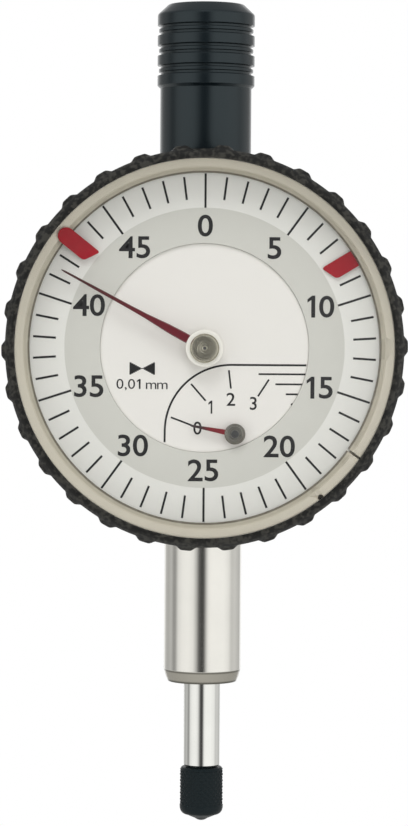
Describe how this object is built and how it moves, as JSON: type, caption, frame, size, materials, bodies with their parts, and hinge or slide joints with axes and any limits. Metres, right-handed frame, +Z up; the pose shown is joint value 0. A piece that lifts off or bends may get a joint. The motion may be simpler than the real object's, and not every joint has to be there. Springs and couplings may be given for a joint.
{
  "type": "plunger dial indicator",
  "caption": "Small plunger dial indicator with an 8 mm stem, turning bezel and scale, turn-counting small pointer, two tolerance markers, gear train inside and a ribbed spindle cap.",
  "frame": {"origin": "on the spindle's axis, halfway along the stem's clamping cylinder", "axes": "+Z up the spindle towards the cap, the dial faces -Y, +X to the right of the dial"},
  "size_m": [0.0404, 0.0202, 0.0844],
  "materials": {
    "case_satin": "satin chromed light alloy",
    "seal_rubber": "matt black rubber",
    "screw_steel": "turned steel",
    "stem_steel": "ground and polished stainless steel",
    "spindle_steel": "lapped hardened steel",
    "bush_brass": "reamed brass",
    "spring_steel": "drawn spring wire",
    "plate_brass": "fine ground brass",
    "jewel_ruby": "polished synthetic ruby",
    "pin_steel": "hardened and polished steel",
    "wheel_brass": "cut and brushed brass",
    "dial_white": "matt off-white lacquer",
    "dial_middle": "matt off-white lacquer",
    "bezel_black": "satin black",
    "crystal_clear": "polished clear crystal",
    "marker_ring_champagne": "champagne anodised",
    "marker_red": "signal red lacquer",
    "contact_black": "black oxide, diamond knurled",
    "ball_carbide": "polished carbide",
    "pointer_dark": "dark red lacquer",
    "pointer_red": "red lacquer",
    "hub_nickel": "turned nickel silver",
    "cap_graphite": "satin graphite grey"
  },
  "bodies": {
    "case": {"case_shell": "case_satin", "rear_cover": "case_satin", "rear_cover_gasket": "seal_rubber", "rear_cover_screws": "screw_steel", "stem": "stem_steel", "lower_bush": "bush_brass", "upper_neck": "stem_steel", "upper_bush": "bush_brass", "cap_ring": "spring_steel", "movement_plate": "plate_brass", "plate_posts": "plate_brass", "plate_screws": "screw_steel", "rear_cock": "plate_brass", "cock_posts": "plate_brass", "cock_screws": "screw_steel", "front_jewels": "jewel_ruby", "plate_jewels": "jewel_ruby", "cock_jewel": "jewel_ruby", "guide_rail": "plate_brass", "spring_post": "pin_steel", "return_spring": "spring_steel", "hairspring": "spring_steel", "hairspring_stud": "pin_steel", "bezel_wire": "spring_steel", "inner_dial": "dial_middle"},
    "bezel": {"bezel_ring": "bezel_black", "crystal_seal": "seal_rubber", "crystal": "crystal_clear", "dial_ring": "dial_white"},
    "front_marker": {"front_marker_ring": "marker_ring_champagne", "left_marker": "marker_red"},
    "rear_marker": {"rear_marker_ring": "marker_ring_champagne", "right_marker": "marker_red"},
    "spindle": {"spindle": "spindle_steel", "guide_pin": "pin_steel", "stop_collar": "pin_steel", "contact_point": "contact_black", "contact_ball": "ball_carbide"},
    "rack_arbor": {"rack_pinion": "pin_steel", "first_wheel": "wheel_brass", "small_pointer": "pointer_red", "small_pointer_hub": "hub_nickel"},
    "middle_arbor": {"middle_pinion": "pin_steel", "middle_wheel": "wheel_brass"},
    "centre_arbor": {"centre_pinion": "pin_steel", "main_pointer": "pointer_dark", "pointer_hub": "hub_nickel"},
    "takeup_arbor": {"takeup_arbor": "pin_steel", "takeup_wheel": "wheel_brass", "hairspring_collet": "wheel_brass"},
    "cap": {"protective_cap": "cap_graphite"}
  },
  "joints": [
    {"name": "pointer_turn", "type": "hinge", "parent": "case", "child": "centre_arbor", "pos_m": [0, 0, 0.0262], "axis": [0, 1, 0], "range_deg": [0, 2304]},
    {"name": "spindle_slide", "type": "slide", "parent": "case", "child": "spindle", "axis": [0, 0, 1], "range_m": [0, 0.0032], "stiffness_N_per_m": 120, "springref_m": -0.008, "deforming": ["return_spring"]},
    {"name": "small_pointer_turn", "type": "hinge", "parent": "case", "child": "rack_arbor", "pos_m": [0.0031, 0, 0.0176], "axis": [0, 1, 0], "range_deg": [0, 115.2]},
    {"name": "middle_arbor_turn", "type": "hinge", "parent": "case", "child": "middle_arbor", "pos_m": [0.00549, 0, 0.0231], "axis": [0, 1, 0], "range_deg": [-576, 0]},
    {"name": "takeup_arbor_turn", "type": "hinge", "parent": "case", "child": "takeup_arbor", "pos_m": [-0.00549, 0, 0.0293], "axis": [0, 1, 0], "range_deg": [-576, 0]},
    {"name": "bezel_turn", "type": "hinge", "parent": "case", "child": "bezel", "pos_m": [0, 0, 0.0262], "axis": [0, 1, 0], "continuous": true},
    {"name": "front_marker_turn", "type": "hinge", "parent": "bezel", "child": "front_marker", "pos_m": [0, 0, 0.0262], "axis": [0, 1, 0], "continuous": true},
    {"name": "rear_marker_turn", "type": "hinge", "parent": "bezel", "child": "rear_marker", "pos_m": [0, 0, 0.0262], "axis": [0, 1, 0], "continuous": true},
    {"name": "cap_pull", "type": "slide", "parent": "case", "child": "cap", "axis": [0, 0, 1], "range_m": [0, 0.013]}
  ],
  "couplings": [
    {"joint": "pointer_turn", "follows": "spindle_slide", "rad_per_m": 12566},
    {"joint": "small_pointer_turn", "follows": "spindle_slide", "rad_per_m": 628.32},
    {"joint": "middle_arbor_turn", "follows": "spindle_slide", "rad_per_m": -3141.6},
    {"joint": "takeup_arbor_turn", "follows": "spindle_slide", "rad_per_m": -3141.6}
  ]
}
